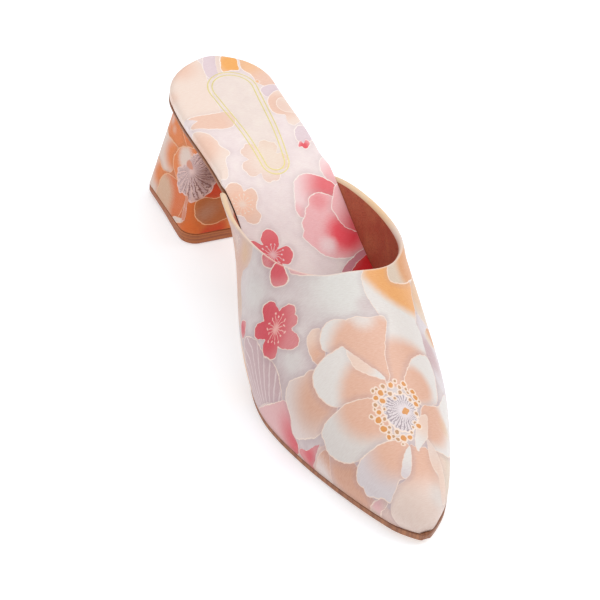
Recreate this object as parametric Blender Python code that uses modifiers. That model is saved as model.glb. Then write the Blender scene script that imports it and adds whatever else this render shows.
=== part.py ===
import math

import bmesh
import bpy
import numpy as np

# Driving sizes of a left shoe, in millimetres. Stations run from the heel back (0) to the toe tip.
LENGTH = 258.0
HEEL_RISE = 61.0
TOE_SPRING = 2.5
SOLE_FOREPART = 2.9
SOLE_SEAT = 1.6
INSOLE_SEAT = 5.5
INSOLE_TOE = 4.0
WALL = 1.8
GAP = 0.3
UPPER_SEAT = 0.2
LIFT_HEIGHT = 5.7

# Where the middle of the bounding box falls on the station line and across it.
ORIGIN_STATION = 129.5
ORIGIN_ACROSS = -0.54

# Rounding: length of the curved heel back and its fullness, of the toe tip in plan and from the side.
HEEL_ROUND = 23.4
HEEL_FULLNESS = 2.07
TOE_ROUND = 10.0
CREST_ROUND = 15.0

# Feather line in plan: station, reach to the inner side, reach to the outer side.
OUTLINE = (
    (0.0, 23.4, 26.9),
    (25.0, 26.1, 26.6),
    (50.0, 25.7, 27.3),
    (75.0, 21.8, 29.2),
    (100.0, 18.2, 32.2),
    (125.0, 23.5, 36.7),
    (150.0, 35.5, 41.4),
    (175.0, 39.8, 40.3),
    (200.0, 35.3, 32.5),
    (225.0, 27.2, 19.9),
    (245.0, 19.0, 7.1),
    (258.0, 12.7, -3.3),
)

# Feather line from the side: station, share of the heel rise, share of the toe spring.
RISE = (
    (0.0, 1.0, 0.0),
    (19.0, 0.958, 0.0),
    (38.0, 0.916, 0.0),
    (56.0, 0.874, 0.0),
    (80.0, 0.716, 0.0),
    (105.0, 0.41, 0.0),
    (130.0, 0.142, 0.0),
    (155.0, 0.04, 0.0),
    (178.0, 0.0, 0.0),
    (208.0, 0.0, 0.0),
    (234.0, 0.0, 0.4),
    (258.0, 0.0, 1.0),
)

# Vamp sections: station, height of the crest over the feather line, outward swell of the sides.
VAMP = (
    (78.0, 104.5, 13.4),
    (110.0, 93.6, 11.6),
    (140.0, 75.1, 6.8),
    (165.0, 55.4, 2.6),
    (190.0, 38.9, 1.7),
    (215.0, 26.3, 1.4),
    (238.0, 17.8, 1.3),
    (258.0, 11.5, 1.3),
)
VAMP_REACH = 1.4
VAMP_FULLNESS = 2.28
CREST_SHIFT = -10.4

# Topline: throat station, then rear station and curve of the inner and the outer side.
THROAT = 162.2
TOPLINE = {"inner": (79.3, 1.87), "outer": (79.9, 3.06)}

# Edge profiles from the lower face up: inset from the outline, share of the thickness.
SOLE_EDGE = (
    (0.5, 0.0),
    (0.0, 0.2),
    (0.0, 1.0),
)
INSOLE_EDGE = (
    (0.3, 0.0),
    (0.0, 0.15),
    (0.0, 0.5),
    (0.5, 0.78),
    (1.7, 0.94),
    (4.5, 1.0),
)
INNER_SHARES = (-0.62, -0.2, 0.2, 0.62)

CORNER_STEPS = 8
# Heel block, upper end then lower end: back, front, half width at the back and at the front, centre,
# length and width of a back corner, radius of a front corner.
HEEL_ENDS = (
    (3.3, 52.0, 22.8, 23.8, 0.5, 24.0, 22.4, 4.0),
    (3.4, 52.8, 28.0, 27.1, -0.4, 5.8, 5.8, 8.0),
)

COLOURS = {
    "outsole": (0.56, 0.33, 0.19, 1.0),
    "insole": (0.86, 0.72, 0.69, 1.0),
    "upper": (0.86, 0.66, 0.58, 1.0),
    "heel": (0.83, 0.47, 0.22, 1.0),
    "top_lift": (0.33, 0.10, 0.035, 1.0),
}
ROUGHNESS = {"outsole": 0.6, "insole": 0.45, "upper": 0.4, "heel": 0.4, "top_lift": 0.55}


def spline(stations, values):
    """Natural cubic through a table's rows."""
    xs = np.asarray(stations, float)
    ys = np.asarray(values, float)
    step = np.diff(xs)
    slope = np.diff(ys) / step
    system = np.eye(len(xs))
    right = np.zeros(len(xs))
    for i in range(1, len(xs) - 1):
        system[i, i - 1:i + 2] = step[i - 1], 2.0 * (step[i - 1] + step[i]), step[i]
        right[i] = 6.0 * (slope[i] - slope[i - 1])
    bend = np.linalg.solve(system, right)

    def at(x):
        k = int(np.clip(np.searchsorted(xs, x) - 1, 0, len(step) - 1))
        a = xs[k + 1] - x
        b = x - xs[k]
        h = step[k]
        cubic = (bend[k] * a ** 3 + bend[k + 1] * b ** 3) / (6.0 * h)
        return cubic + (ys[k] / h - bend[k] * h / 6.0) * a + (ys[k + 1] / h - bend[k + 1] * h / 6.0) * b

    return at


def column(table, index):
    return [row[index] for row in table]


inner_reach = spline(column(OUTLINE, 0), column(OUTLINE, 1))
outer_reach = spline(column(OUTLINE, 0), column(OUTLINE, 2))
heel_share = spline(column(RISE, 0), column(RISE, 1))
toe_share = spline(column(RISE, 0), column(RISE, 2))
crest_height = spline(column(VAMP, 0), column(VAMP, 1))
side_swell = spline(column(VAMP, 0), column(VAMP, 2))


def ease(low, high, x):
    t = min(max((x - low) / (high - low), 0.0), 1.0)
    return t * t * (3.0 - 2.0 * t)


def toe_end(s, length):
    back = min(max(1.0 - (LENGTH - s) / length, 0.0), 1.0)
    return math.sqrt(1.0 - back ** 2)


def heel_end(s):
    back = min(max(1.0 - s / HEEL_ROUND, 0.0), 1.0)
    return (1.0 - back ** HEEL_FULLNESS) ** (1.0 / HEEL_FULLNESS)


def middle_and_half(s):
    """Centre and half width of the feather line at a station."""
    inner = inner_reach(s)
    outer = outer_reach(s)
    return (outer - inner) / 2.0, (outer + inner) / 2.0 * heel_end(s) * toe_end(s, TOE_ROUND)


def sole_thickness(s):
    return SOLE_SEAT + (SOLE_FOREPART - SOLE_SEAT) * ease(55.0, 120.0, s)


def feather(s):
    """Height of the line where upper and sole meet, flat on the tread of the forefoot."""
    s = min(max(s, 0.0), LENGTH)
    return SOLE_FOREPART + GAP + max(HEEL_RISE * heel_share(s) + TOE_SPRING * toe_share(s), 0.0)


def tread(s):
    """Height of the sole's lower face."""
    return feather(s) - GAP - sole_thickness(s)


def place(s, x, z):
    """Row frame in metres: toe to -Y, outer side of the left foot to +X."""
    return (x - ORIGIN_ACROSS) / 1000.0, (ORIGIN_STATION - s) / 1000.0, z / 1000.0


def top_station(t):
    rear, curve = TOPLINE["inner" if t < 0.5 else "outer"]
    return THROAT - (THROAT - rear) * abs(2.0 * t - 1.0) ** curve


def vamp_point(a, t):
    """Outer face of the upper: a runs from topline to toe, t from inner to outer feather line."""
    top = top_station(t)
    s = top + (LENGTH - top) * (1.0 - (1.0 - a) ** 1.5)
    middle, half = middle_and_half(s)
    turn = -math.cos(math.pi * t)
    side = math.copysign(abs(turn) ** (2.0 / VAMP_FULLNESS), turn)
    lift = max(math.sin(math.pi * t), 0.0) ** (2.0 / VAMP_FULLNESS)
    swell = side_swell(s) * math.sin(math.pi * lift)
    shift = CREST_SHIFT * lift * min(max(1.0 - (s - 150.0) / 108.0, 0.0), 1.0)
    x = middle + side * (half + VAMP_REACH + swell) + shift
    crest = crest_height(s) * toe_end(s, CREST_ROUND)
    return place(s, x, feather(s) + UPPER_SEAT + crest * lift)


def plate_point(u, v, start, end, edge, grow, low, thick):
    """Closed section of a sole layer: u along the foot, v once around the section."""
    s = LENGTH * (1.0 - math.cos(math.pi * (0.012 + 0.976 * u))) / 2.0
    middle, half = middle_and_half(s)
    half += grow(s)
    narrow = min(half / 12.0, 1.0)
    rim = [(1.0, inset * narrow, share) for inset, share in edge]
    loop = [(q, rim[0][1], 0.0) for q in INNER_SHARES] + rim
    loop += [(-q, rim[-1][1], 1.0) for q in INNER_SHARES] + [(-1.0, i, h) for _, i, h in reversed(rim)]
    k = int(round(v * len(loop))) % len(loop)
    share, inset, height = loop[k]
    x = middle + share * (half - inset)
    along = start + (end - start) * s / LENGTH
    return place(along, x, low(along) + thick(along) * height)


def block_outline(v, corner, bend):
    """Heel block in plan: v from its upper to its lower end, then corner by corner, bend 0 to 1 in each."""
    row = [a + (b - a) * v for a, b in zip(*HEEL_ENDS)]
    back, front, back_half, front_half, centre, back_long, back_wide, front_round = row
    corners = (
        (front - front_round, front_half - front_round, front_round, front_round),
        (back + back_long, back_half - back_wide, back_long, back_wide),
        (back + back_long, back_wide - back_half, back_long, back_wide),
        (front - front_round, front_round - front_half, front_round, front_round),
    )
    s, x, long, wide = corners[corner]
    angle = math.pi / 2.0 * (corner + bend)
    return s + long * math.cos(angle), centre + x + wide * math.sin(angle)


def finish(name, mesh_builder, group):
    """Close the mesh, face it outwards and give it its own material."""
    bmesh.ops.remove_doubles(mesh_builder, verts=mesh_builder.verts[:], dist=1e-6)
    bmesh.ops.recalc_face_normals(mesh_builder, faces=mesh_builder.faces[:])
    mesh = bpy.data.meshes.new(name)
    mesh_builder.to_mesh(mesh)
    mesh_builder.free()
    mesh.shade_smooth()
    mesh.set_sharp_from_angle(angle=math.radians(40.0))
    part = bpy.data.objects.new(name, mesh)
    group.objects.link(part)
    material = bpy.data.materials.new(name)
    material.use_nodes = True
    shader = material.node_tree.nodes["Principled BSDF"]
    shader.inputs["Base Color"].default_value = COLOURS[name]
    shader.inputs["Roughness"].default_value = ROUGHNESS[name]
    shader.inputs["Metallic"].default_value = 0.0
    mesh.materials.append(material)
    return part


def mapped_grid(columns, rows, point):
    """Grid whose two running shares, 0 to 1, are carried to points by a function."""
    grid = bmesh.new()
    bmesh.ops.create_grid(grid, x_segments=columns, y_segments=rows, size=1.0)
    for vertex in grid.verts:
        vertex.co = point((vertex.co.x + 1.0) / 2.0, (vertex.co.y + 1.0) / 2.0)
    return grid


def close_ends(grid):
    bmesh.ops.remove_doubles(grid, verts=grid.verts[:], dist=1e-6)
    rims = [edge for edge in grid.edges if edge.is_boundary]
    bmesh.ops.holes_fill(grid, edges=rims, sides=0)


def build_upper(group):
    shell = mapped_grid(30, 40, vamp_point)
    tip = [vertex for vertex in shell.verts if vertex.co.y < place(LENGTH - 0.05, 0.0, 0.0)[1]]
    bmesh.ops.remove_doubles(shell, verts=tip, dist=0.0008)
    part = finish("upper", shell, group)
    wall = part.modifiers.new("wall", "SOLIDIFY")
    wall.thickness = WALL / 1000.0
    wall.offset = -1.0
    return part


def build_plate(name, group, rows, start, end, edge, grow, low, thick):
    around = 2 * (len(INNER_SHARES) + len(edge))

    def point(u, v):
        return plate_point(u, v, start, end, edge, grow, low, thick)

    grid = mapped_grid(rows, around, point)
    close_ends(grid)
    return finish(name, grid, group)


def build_block(name, group, levels, share, height):
    """Block with four rounded corners: share picks the outline and height the place, from top to bottom."""
    around = 4 * (CORNER_STEPS + 1)

    def point(u, v):
        corner, step = divmod(int(round(v * around)) % around, CORNER_STEPS + 1)
        s, x = block_outline(share(u), corner, step / CORNER_STEPS)
        return place(s, x, height(u, s))

    grid = mapped_grid(levels, around, point)
    close_ends(grid)
    return finish(name, grid, group)


for old in list(bpy.data.objects):
    bpy.data.objects.remove(old, do_unlink=True)

shoe = bpy.data.collections.new("block_heel_mule")
bpy.context.scene.collection.children.link(shoe)


def sole_grow(s):
    return 0.2 + 1.0 * ease(52.0, 78.0, s)


def insole_grow(s):
    return -1.8 * ease(52.0, 78.0, s)


def insole_thickness(s):
    return INSOLE_SEAT + (INSOLE_TOE - INSOLE_SEAT) * ease(120.0, 240.0, s)


def heel_height(u, s):
    upper_end = tread(s) - GAP
    return upper_end + (LIFT_HEIGHT + GAP - upper_end) * u


def lift_height(u, s):
    return LIFT_HEIGHT * (1.0 - u)


build_plate("outsole", shoe, 44, -0.2, LENGTH + 1.2, SOLE_EDGE, sole_grow, tread, sole_thickness)
build_plate("insole", shoe, 44, 0.0, LENGTH - 3.4, INSOLE_EDGE, insole_grow, feather, insole_thickness)
build_upper(shoe)
build_block("heel", shoe, 6, lambda u: u, heel_height)
build_block("top_lift", shoe, 1, lambda u: 1.0, lift_height)
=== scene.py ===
import math

import bpy
import numpy as np
from mathutils import Matrix


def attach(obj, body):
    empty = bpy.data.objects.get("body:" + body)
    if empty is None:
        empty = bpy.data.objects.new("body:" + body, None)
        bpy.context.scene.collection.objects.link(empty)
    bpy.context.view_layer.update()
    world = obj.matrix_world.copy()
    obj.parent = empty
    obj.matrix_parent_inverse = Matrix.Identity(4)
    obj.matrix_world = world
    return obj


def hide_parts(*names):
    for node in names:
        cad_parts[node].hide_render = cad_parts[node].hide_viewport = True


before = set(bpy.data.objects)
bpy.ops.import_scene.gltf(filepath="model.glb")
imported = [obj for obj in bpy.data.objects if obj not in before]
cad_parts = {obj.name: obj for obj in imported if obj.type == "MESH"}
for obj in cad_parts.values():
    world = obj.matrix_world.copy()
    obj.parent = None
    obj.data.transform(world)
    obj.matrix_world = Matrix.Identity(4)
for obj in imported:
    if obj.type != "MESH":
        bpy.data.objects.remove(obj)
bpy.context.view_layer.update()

# Last of a left mule, in millimetres: stations run from the heel back (0) to the toe tip.
last = {
    "length": 258.0, "heelRise": 61.0, "toeSpring": 2.5, "soleForepart": 2.9, "soleSeat": 1.6,
    "soleThickening": (55, 120), "gap": 0.3, "originStation": 129.5, "originAcross": -0.54,
    "heelRound": 23.4, "heelFullness": 2.07, "toeRound": 10.0, "crestRound": 15.0,
    # station, reach to the inner side, reach to the outer side
    "outline": (
        (0, 23.4, 26.9), (25, 26.1, 26.6), (50, 25.7, 27.3), (75, 21.8, 29.2), (100, 18.2, 32.2),
        (125, 23.5, 36.7), (150, 35.5, 41.4), (175, 39.8, 40.3), (200, 35.3, 32.5), (225, 27.2, 19.9),
        (245, 19.0, 7.1), (258, 12.7, -3.3)),
    # station, share of the heel rise, share of the toe spring
    "rise": (
        (0, 1, 0), (19, 0.958, 0), (38, 0.916, 0), (56, 0.874, 0), (80, 0.716, 0), (105, 0.41, 0),
        (130, 0.142, 0), (155, 0.04, 0), (178, 0, 0), (208, 0, 0), (234, 0, 0.4), (258, 0, 1)),
    # station, crest height over the feather line, swell of the sides
    "vamp": (
        (78, 104.5, 13.4), (110, 93.6, 11.6), (140, 75.1, 6.8), (165, 55.4, 2.6), (190, 38.9, 1.7),
        (215, 26.3, 1.4), (238, 17.8, 1.3), (258, 11.5, 1.3)),
}


def spline(table, index):
    xs = np.array([row[0] for row in table], float)
    ys = np.array([row[index] for row in table], float)
    step = np.diff(xs)
    slope = np.diff(ys) / step
    system = np.eye(len(xs))
    right = np.zeros(len(xs))
    for i in range(1, len(xs) - 1):
        system[i, i - 1:i + 2] = step[i - 1], 2 * (step[i - 1] + step[i]), step[i]
        right[i] = 6 * (slope[i] - slope[i - 1])
    bend = np.linalg.solve(system, right)

    def at(x):
        x = np.asarray(x, float)
        k = np.clip(np.searchsorted(xs, x) - 1, 0, len(step) - 1)
        a, b, h = xs[k + 1] - x, x - xs[k], step[k]
        cubic = (bend[k] * a ** 3 + bend[k + 1] * b ** 3) / (6 * h)
        return cubic + (ys[k] / h - bend[k] * h / 6) * a + (ys[k + 1] / h - bend[k + 1] * h / 6) * b

    return at


innerReach, outerReach = spline(last["outline"], 1), spline(last["outline"], 2)
heelShare, toeShare = spline(last["rise"], 1), spline(last["rise"], 2)
crestHeight, sideSwell = spline(last["vamp"], 1), spline(last["vamp"], 2)


def ease(low, high, x):
    t = np.clip((np.asarray(x, float) - low) / (high - low), 0, 1)
    return t * t * (3 - 2 * t)


def toeEnd(s, length):
    return np.sqrt(1 - np.clip(1 - (last["length"] - s) / length, 0, 1) ** 2)


def heelEnd(s):
    back = np.clip(1 - s / last["heelRound"], 0, 1)
    return (1 - back ** last["heelFullness"]) ** (1 / last["heelFullness"])


def middleAndHalf(s):
    inner, outer = innerReach(s), outerReach(s)
    return (outer - inner) / 2, (outer + inner) / 2 * heelEnd(s) * toeEnd(s, last["toeRound"])


def soleThickness(s):
    return last["soleSeat"] + (last["soleForepart"] - last["soleSeat"]) * ease(*last["soleThickening"], s)


def feather(s):
    s = np.clip(s, 0, last["length"])
    lift = last["heelRise"] * heelShare(s) + last["toeSpring"] * toeShare(s)
    return last["soleForepart"] + last["gap"] + np.maximum(lift, 0)


def tread(s):
    return feather(s) - last["gap"] - soleThickness(s)


def toRow(points):
    s, x, z = points[..., 0], points[..., 1], points[..., 2]
    return np.stack([x - last["originAcross"], last["originStation"] - s, z], -1) / 1000


def pathLength(points):
    step = np.linalg.norm(np.diff(points, axis=0), axis=-1)
    return np.concatenate([[0.0], np.cumsum(step)])


# Shader building: Wire carries a socket through plain arithmetic, Finish owns one material.
class Wire:
    def __init__(self, finish, socket):
        self.finish, self.socket = finish, socket

    def __add__(self, other):
        return self.finish.math("ADD", self, other)

    def __sub__(self, other):
        return self.finish.math("SUBTRACT", self, other)

    def __rsub__(self, other):
        return self.finish.math("SUBTRACT", other, self)

    def __mul__(self, other):
        return self.finish.math("MULTIPLY", self, other)

    def __truediv__(self, other):
        return self.finish.math("DIVIDE", self, other)

    __radd__ = __add__
    __rmul__ = __mul__


def linear(colour):
    # hex string to scene-linear
    parts = [int(colour[i:i + 2], 16) / 255 for i in (0, 2, 4)]
    return [p / 12.92 if p <= 0.04045 else ((p + 0.055) / 1.055) ** 2.4 for p in parts] + [1.0]


class Finish:
    def __init__(self, name):
        self.material = bpy.data.materials.new(name)
        self.material.use_nodes = True
        self.tree = self.material.node_tree
        self.shader = self.tree.nodes["Principled BSDF"]

    def node(self, kind, settings, sockets, out=0):
        node = self.tree.nodes.new(kind)
        for key, value in settings.items():
            if key == "stops":
                ramp = node.color_ramp.elements
                while len(ramp) < len(value):
                    ramp.new(0.5)
                for element, (place, colour) in zip(ramp, value):
                    element.position, element.color = place, linear(colour)
            elif key == "points":
                curve = node.mapping.curves[0].points
                for x, y in value[1:-1]:
                    curve.new(x, y).handle_type = "VECTOR"
                curve[0].location, curve[len(curve) - 1].location = value[0], value[-1]
                curve[0].handle_type = curve[len(curve) - 1].handle_type = "VECTOR"
                node.mapping.update()
            else:
                setattr(node, key, value)
        for key, value in sockets.items():
            if isinstance(value, Wire):
                self.tree.links.new(value.socket, node.inputs[key])
            else:
                node.inputs[key].default_value = linear(value) if isinstance(value, str) else value
        return Wire(self, node.outputs[out])

    def math(self, operation, *values):
        return self.node("ShaderNodeMath", {"operation": operation}, dict(enumerate(values)))

    def vector(self, operation, *values, out=0):
        return self.node("ShaderNodeVectorMath", {"operation": operation}, dict(enumerate(values)), out)

    def mix(self, share, first, second, blend="MIX"):
        return self.node("ShaderNodeMix", {"data_type": "RGBA", "blend_type": blend},
                         {0: share, 6: first, 7: second}, 2)

    def span(self, value, low, high, toLow=0.0, toHigh=1.0):
        # value eased from one span to another and held at both ends; the node's own clamp stays off,
        # since it would add a node that holds back the whole chain of mixes
        return self.node("ShaderNodeMapRange", {"interpolation_type": "SMOOTHSTEP", "clamp": False},
                         {0: value, 1: low, 2: high, 3: toLow, 4: toHigh})

    def attribute(self, name, out="Vector"):
        return self.node("ShaderNodeAttribute", {"attribute_name": name}, {}, out)

    def noise(self, place, scale, detail=3.0, rough=0.5, out=0):
        return self.node("ShaderNodeTexNoise", {}, {"Vector": place, "Scale": scale, "Detail": detail,
                                                    "Roughness": rough}, out)

    def stretch(self, place, scale, turn=0.0):
        return self.node("ShaderNodeMapping", {}, {"Vector": place, "Rotation": (0, 0, math.radians(turn)),
                                                   "Scale": scale})

    def bump(self, height, strength, distance):
        return self.node("ShaderNodeBump", {}, {"Height": height, "Strength": strength,
                                                "Distance": distance})

    def wear(self, **sockets):
        # constants and links of the shader's own sockets
        for key, value in sockets.items():
            socket = self.shader.inputs[key.replace("_", " ")]
            if isinstance(value, Wire):
                self.tree.links.new(value.socket, socket)
            else:
                socket.default_value = value
        return self.material


# Floral print, drawn in the flattened millimetres of each piece from back to front.
palette = {
    # lines, ground and shade
    "cream": "e6d4c6", "pearl": "d2d0cc", "shadow": "bfaaab", "plum": "a98f93",
    # pale flower of the vamp
    "white": "d6d1cd", "frost": "d0cac6", "lilac": "cdc4c6", "peach": "d5ab95", "blush": "dcc3b4",
    "tan": "cfa48e", "smoke": "d3c5c0", "clay": "c89a83", "dust": "cdb4ab", "shell": "d9c6bc",
    "mauve": "bda2a4", "vein": "d3c3c2", "wing": "cda490", "bran": "c3ad92", "orange": "dda160",
    "ochre": "cd8f54", "melon": "d2ab82", "linen": "cfbdab",
    # red flowers
    "red": "c94b57", "rose": "cd7f82", "pink": "d3a7a7", "stamen": "e6bdb3",
    # eye of the flower
    "disc": "d6ccce", "thread": "877881", "amber": "d08f45", "seed": "b98f66",
    # footbed
    "petalPale": "e9d7cc", "petalWarm": "e6c4b2", "petalGold": "e9bd95", "mist": "dccbd0",
    "tangerine": "ebad62", "bloom": "e5cbbe", "oat": "e0d2bb", "berry": "dd5560", "flush": "eab4b7",
    "carmine": "e0676f", "snow": "ecd3d4", "ruby": "e83c4e", "cherry": "d41a24", "heather": "cb8793",
    "nectar": "ecc1a9", "gilt": "e2d68a", "chalk": "f5ebe4",
    # heel
    "ember": "d8782a", "copper": "cf6722", "rust": "c63e06", "ash": "d8c2b6", "sand": "cda88c",
    "bark": "b0642e", "cocoa": "b07a5c", "mallow": "c3a5a3", "wisp": "dcbcb4", "dusk": "74473c",
    "clove": "cb876c", "glow": "e8b991",
}


def closedCurve(points, steps=10):
    # smooth closed curve through given points
    p = np.array(points, float)
    before, after, beyond = np.roll(p, 1, 0), np.roll(p, -1, 0), np.roll(p, -2, 0)
    rows = []
    for t in np.linspace(0, 1, steps, endpoint=False):
        rows.append(0.5 * (2 * p + (after - before) * t + (2 * before - 5 * p + 4 * after - beyond) * t ** 2
                           + (3 * p - before - 3 * after + beyond) * t ** 3))
    return np.stack(rows, 1).reshape(-1, 2)


def blossomPoints(centre, size, turn, notch=0.1, waist=0.5):
    # five round petals, each with a small notch
    rows = []
    for k in range(5):
        for share, radius in ((-0.5, waist), (-0.36, 0.86), (-0.16, 1.0), (0, 1 - notch), (0.16, 1.0),
                              (0.36, 0.86)):
            angle = math.radians(turn + 72 * (k + share))
            rows.append((centre[0] + size * radius * math.cos(angle),
                         centre[1] + size * radius * math.sin(angle)))
    return rows


class Print:
    def __init__(self, finish, place, cloth, ground, shade, edge, streak, lace):
        # place: swayed flattened millimetres for the drawing; cloth: the unswayed ones
        self.finish, self.colour = finish, ground
        self.streak, self.lace = (streak - 0.5) * 3.0, (lace - 0.5) * 9.0
        self.shade, self.edge, self.foil = shade, edge, None
        self.across, self.along = self.split(place)
        self.clothAcross, self.clothAlong = self.split(cloth)

    def split(self, place):
        parts = self.finish.node("ShaderNodeSeparateXYZ", {}, {0: place})
        return parts, Wire(self.finish, parts.socket.node.outputs[1])

    def paint(self, share, colour):
        self.colour = self.finish.mix(share, self.colour, palette.get(colour, colour))

    def polar(self, centre, size):
        # place around a centre in shares of a size: angle 0 to 1, and distance
        f = self.finish
        x = f.math("MULTIPLY_ADD", self.across, 1 / size, -centre[0] / size)
        y = f.math("MULTIPLY_ADD", self.along, 1 / size, -centre[1] / size)
        angle = f.math("MULTIPLY_ADD", f.math("ARCTAN2", y, x), 0.5 / math.pi, 0.5)
        return angle, f.math("SQRT", f.math("MULTIPLY_ADD", x, x, y * y))

    def away(self, centre):
        f = self.finish
        x, y = self.across - centre[0], self.along - centre[1]
        return f.math("SQRT", f.math("MULTIPLY_ADD", x, x, y * y))

    def contour(self, points):
        # how far inside a closed outline, in shares of its largest radius
        curve = closedCurve(points)
        centre = (curve.min(0) + curve.max(0)) / 2
        offset = curve - centre
        radius = np.hypot(offset[:, 0], offset[:, 1])
        angle = np.arctan2(offset[:, 1], offset[:, 0]) / (2 * math.pi) + 0.5
        order = np.argsort(angle)
        size = float(radius.max())
        marks = np.linspace(0, 1, 73)
        reach = np.interp(marks, angle[order], radius[order] / size, period=1.0)
        turn, away = self.polar(centre, size)
        edge = self.finish.node("ShaderNodeFloatCurve", {"points": list(zip(marks, reach))},
                                {"Factor": 1.0, "Value": turn})
        return edge - away, size

    def petal(self, points, fill, tip=None, focus=(0, 0), reach=(0, 1), spots=(), line=0.42, edge=None,
              halo=0.3, soft=0.14):
        # shade around it, pale outline, then a body that turns from fill to tip away from its focus
        f = self.finish
        inside, size = self.contour(points)
        if halo:
            self.paint(f.span(inside, -3.4 / size, 0.0, 0.0, halo), self.shade)
        if line:
            self.paint(f.span(inside, -soft / size, soft / size, 0.0, 0.85), edge or self.edge)
        body = palette[fill]
        if tip:
            body = f.mix(f.span(self.away(focus) + self.streak, *reach), body, palette[tip])
        for centre, near, far, share, colour in spots:
            body = f.mix(f.span(self.away(centre), near, far, share, 0.0), body, palette[colour])
        self.paint(f.span(inside, (line - soft) / size, (line + soft) / size), body)

    def glow(self, centre, near, far, share, colour):
        # soft round patch
        self.paint(self.finish.span(self.away(centre), near, far, share, 0.0), colour)

    def dots(self, spots, colour, rim="cream", ring=0.55):
        # round grains, each with a pale rim
        f = self.finish
        near = None
        for x, y, radius in spots:
            gap = self.away((x, y)) - radius
            near = f.math("MINIMUM", near, gap) if near else gap
        if rim:
            self.paint(f.span(near, ring - 0.2, ring + 0.2, 0.9, 0.0), rim)
        self.paint(f.span(near, -0.2, 0.16, 1.0, 0.0), colour)

    def stamens(self, centre, size, count, colour="stamen"):
        # fine threads from a pale heart, each ending in a dot
        f = self.finish
        angle, away = self.polar(centre, size)
        fold = f.math("ABSOLUTE", f.math("FRACT", angle * count) - 0.5)
        sway = f.math("SINE", angle * (2 * math.pi * (count // 2 - 1))) * 0.13
        across = fold * away * (2 * math.pi / count)
        tipAway = away + sway - 0.84
        dot = f.math("SQRT", across * across + tipAway * tipAway)
        thread = f.span(across, 0.014, 0.042, 0.7, 0.0) * f.span(away + sway, 0.66, 0.74, 1.0, 0.0)
        heart = f.span(away, 0.1, 0.5, 0.65, 0.0)
        head = f.span(dot, 0.05, 0.095, 0.95, 0.0)
        self.paint(f.math("MAXIMUM", heart, f.math("MAXIMUM", thread, head)), colour)

    def rays(self, points, eye, size, count, fill, dark, reach, strength, rim="cream", fade=None, pale=0):
        # lacy disc with a scalloped rim and uneven dark threads that fan from its eye; fade: a span across
        # the piece over which the threads gain their strength; pale: count of lighter threads on them
        f = self.finish
        inside, radius = self.contour(points)
        angle, away = self.polar(eye, size)
        inside = inside + f.math("SINE", angle * (2 * math.pi * 23)) * 0.03
        self.paint(f.span(inside, -0.3 / radius, 0.1 / radius), rim)
        self.paint(f.span(inside, 0.4 / radius, 0.9 / radius), fill)
        wave = f.math("SINE", angle * (2 * math.pi * count) + self.lace * 0.9 + away * 1.5)
        share = f.span(wave, 0.0, 0.85, 0.0, strength) * f.span(away, *reach)
        speck = f.span(self.lace, 0.4, 1.1, 0.0, strength) * f.span(away, reach[1], reach[1] + 0.3)
        share = f.math("MAXIMUM", share, speck) * f.span(inside, 0.5 / radius, 1.1 / radius)
        if fade:
            share = share * f.span(self.across + self.streak * 2, *fade, 0.3, 1.0)
        self.paint(share, dark)
        if pale:
            wave = f.math("SINE", angle * (2 * math.pi * pale) + self.lace * 0.7 - away * 1.2)
            thread = f.span(wave, 0.45, 0.9, 0.0, 0.75) * f.span(away, 0.15, 0.4)
            dots = f.span(self.lace, -0.5, -1.0, 0.0, 0.85) * f.span(inside, 3.2 / radius, 1.6 / radius)
            self.paint(f.math("MAXIMUM", thread, dots) * f.span(inside, 0.3 / radius, 0.9 / radius), rim)

    def veins(self, points, centre, count, fill, vein, bow=0.0, line=0.42):
        # leaf with fine lines fanning from one point
        f = self.finish
        self.petal(points, fill, line=line)
        inside, size = self.contour(points)
        angle, away = self.polar(centre, 40.0)
        ridge = f.math("ABSOLUTE", f.math("FRACT", angle * count + away * bow) - 0.5)
        width = f.span(away, 0.0, 1.2, 0.3, 0.1)
        share = f.span(ridge / width, 0.6, 1.0, 0.85, 0.0)
        self.paint(share * f.span(inside, 0.5 / size, 0.9 / size), vein)

    def oval(self, top, bottom, radii, insets, width, fill, colour):
        # tapered oval in two fine foil lines, on places that don't sway
        f = self.finish
        long = math.dist(top, bottom)
        ux, uy = (bottom[0] - top[0]) / long, (bottom[1] - top[1]) / long
        taper = (radii[0] - radii[1]) / long
        dx, dy = self.clothAcross - top[0], self.clothAlong - top[1]
        down = dx * ux + dy * uy
        side = f.math("ABSOLUTE", dx * uy - dy * ux)
        share = (down - side * (taper / math.sqrt(1 - taper ** 2))) / long
        share = f.math("MAXIMUM", f.math("MINIMUM", share, 1.0), 0.0)
        rest = down - share * long
        out = f.math("SQRT", side * side + rest * rest) - (share * (radii[1] - radii[0]) + radii[0])
        self.paint(f.span(out, -1.5, 0.0, 0.28, 0.0), fill)
        gaps = [f.math("ABSOLUTE", out + inset) for inset in insets]
        self.foil = f.math("MAXIMUM", *[f.span(gap, 0.4 * width, 0.75 * width, 1.0, 0.0) for gap in gaps])
        self.paint(self.foil * 0.9, colour)

    def draw(self, layers):
        for kind, settings in layers:
            getattr(self, kind)(**settings)
        return self.colour


def layer(kind, order=""):
    # one line of a drawing: how it is drawn, and its settings, the first of them by their order
    return lambda *first, **others: (kind, dict(zip(order.split(), first), **others))


glow = layer("glow", "centre near far share colour")
petal = layer("petal", "points fill tip focus reach")
dots = layer("dots", "spots colour")
stamens = layer("stamens", "centre size count")
rays = layer("rays", "points eye size count fill dark reach strength")
veins = layer("veins", "points centre count fill vein")
oval = layer("oval")


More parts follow.
